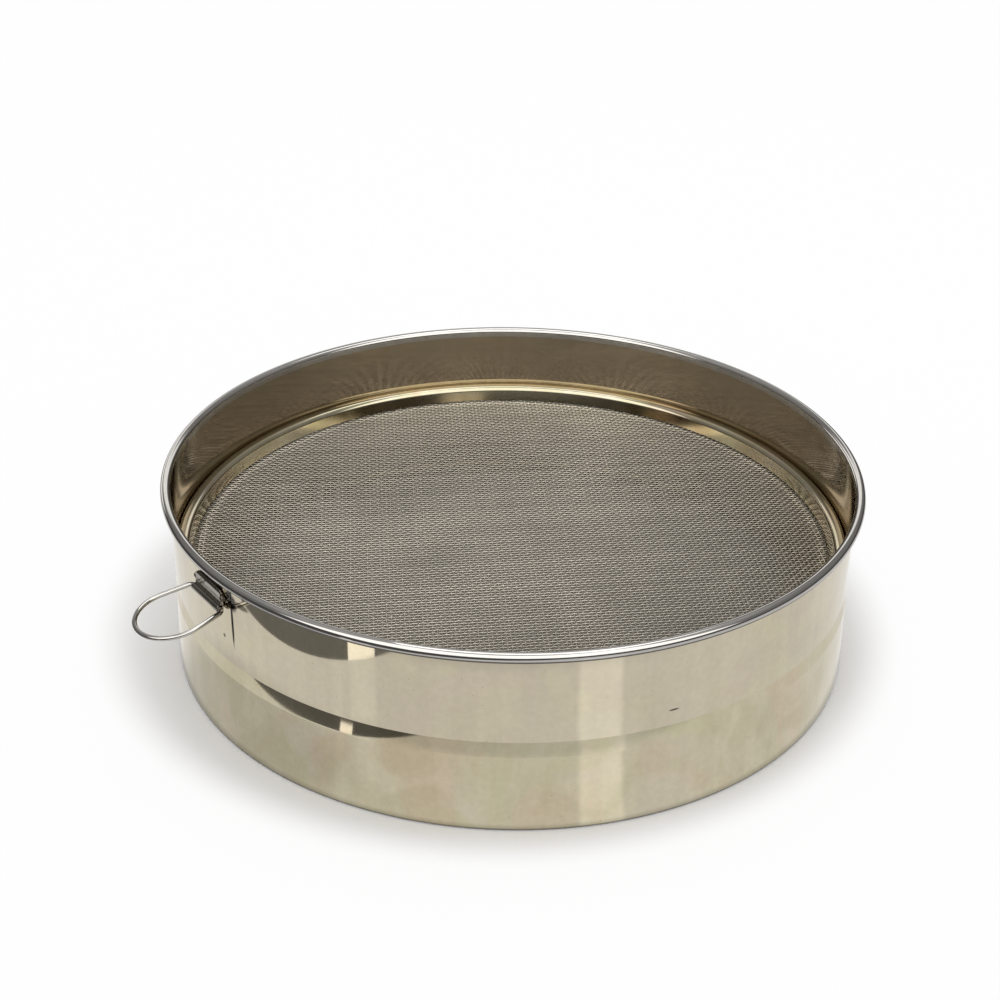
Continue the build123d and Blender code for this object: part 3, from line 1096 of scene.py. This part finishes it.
class SIEVE_OT_set_stage(bpy.types.Operator):
    """Sets the floor, the lights, what the steel reflects, and the camera"""

    bl_idname = "sieve.set_stage"
    bl_label = "Set Stage"

    def execute(self, context):
        looks = context.scene.sieve_finishes
        scene = context.scene
        scene.view_settings.view_transform = "Standard"

        stage_card("floor", disc(FLOOR_RADIUS, 0.0), floor_material(looks), ("camera", "diffuse", "shadow"))
        table = [(x, y, TABLE_HEIGHT) for x, y in TABLE_CORNERS]
        stage_card("table_top", table, table_material(looks), ("glossy",))
        # Painted shade: a dark disc under the cloth, seen through it.
        mat = matt_material("painted_shade_mat_matt", looks.mat[:])
        stage_card("painted_shade_disc", disc(SHADE_MAT_RADIUS, SHADE_MAT_HEIGHT), mat, ("camera", "diffuse", "glossy"))
        box = [(-BOX_DISTANCE, y * MM, z * MM) for y, z in BOX_LOWER_MM + BOX_UPPER_MM]
        stage_card("white_box", box, glow_material("box_glow", (1.0, 0.96, 0.9), 1.6)[0], ("glossy",))

        bpy.ops.mesh.primitive_uv_sphere_add(segments=48, ring_count=24, radius=ROOM_RADIUS)
        room = context.active_object
        room.name = "room"
        room.data.materials.append(room_material())
        set_on_stage(room, ("glossy",))

        world = bpy.data.worlds.new("pale_world")
        scene.world = world
        world.use_nodes = True
        tree = world.node_tree
        level = span_node(tree, direct_rays(tree), 0.0, 1.0, looks.sky_level, 1.0)
        back = tree.nodes["Background"]
        back.inputs["Color"].default_value = (1.0, 1.0, 1.0, 1.0)
        tree.links.new(level, back.inputs["Strength"])

        lamp = bpy.data.lights.new("softbox", "AREA")
        lamp.energy = looks.lamp_watts
        lamp.size = SOFTBOX_WIDTH
        softbox = new_object("softbox", lamp)
        softbox.location = SOFTBOX_PLACE
        softbox.rotation_mode = "QUATERNION"
        aim = Vector(SOFTBOX_AIM) - softbox.location
        softbox.rotation_quaternion = aim.to_track_quat("-Z", "Y")

        lens = bpy.data.cameras.new("camera")
        lens.sensor_width = SENSOR_MM
        lens.lens = LENS_MM
        lens.clip_start = 0.01
        lens.clip_end = 50.0
        camera = new_object("camera", lens)
        axes = (Vector(CAMERA_RIGHT), -Vector(CAMERA_DOWN), -Vector(CAMERA_AHEAD))
        turn = Matrix(axes).transposed()
        camera.matrix_world = Matrix.Translation(Vector(CAMERA_PLACE_MM) * MM) @ turn.to_4x4()
        scene.camera = camera
        return {"FINISHED"}


OPERATORS = (
    SIEVE_OT_turn_hoops,
    SIEVE_OT_press_ring,
    SIEVE_OT_weave_cloth,
    SIEVE_OT_bend_loop,
    SIEVE_OT_fold_strap,
    SIEVE_OT_dress_wires,
    SIEVE_OT_set_stage,
)


class SIEVE_PT_panel(bpy.types.Panel):
    """Buttons that make the sieve's pieces"""

    bl_label = "Drum Sieve"
    bl_idname = "SIEVE_PT_panel"
    bl_space_type = "VIEW_3D"
    bl_region_type = "UI"
    bl_category = "Drum Sieve"

    def draw(self, context):
        for operator in OPERATORS:
            self.layout.operator(operator.bl_idname)


GROUPS = {
    "sieve_drum": DrumSizes,
    "sieve_cloth": ClothSizes,
    "sieve_loop": LoopSizes,
    "sieve_finishes": Finishes,
}


CLASSES = (*GROUPS.values(), *OPERATORS, SIEVE_PT_panel)


def register():
    """Registers the add-on's classes and its groups of sizes and colours."""
    for kind in CLASSES:
        bpy.utils.register_class(kind)
    for name, group in GROUPS.items():
        setattr(bpy.types.Scene, name, PointerProperty(type=group))


def unregister():
    """Takes back what register did."""
    for name in GROUPS:
        delattr(bpy.types.Scene, name)
    for kind in reversed(CLASSES):
        bpy.utils.unregister_class(kind)


def main():
    """Makes every piece and the stage."""
    register()
    bpy.ops.sieve.turn_hoops()
    bpy.ops.sieve.press_ring()
    bpy.ops.sieve.weave_cloth()
    bpy.ops.sieve.bend_loop()
    bpy.ops.sieve.fold_strap()
    bpy.ops.sieve.dress_wires()
    bpy.ops.sieve.set_stage()
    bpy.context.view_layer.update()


if __name__ == "__main__":
    main()
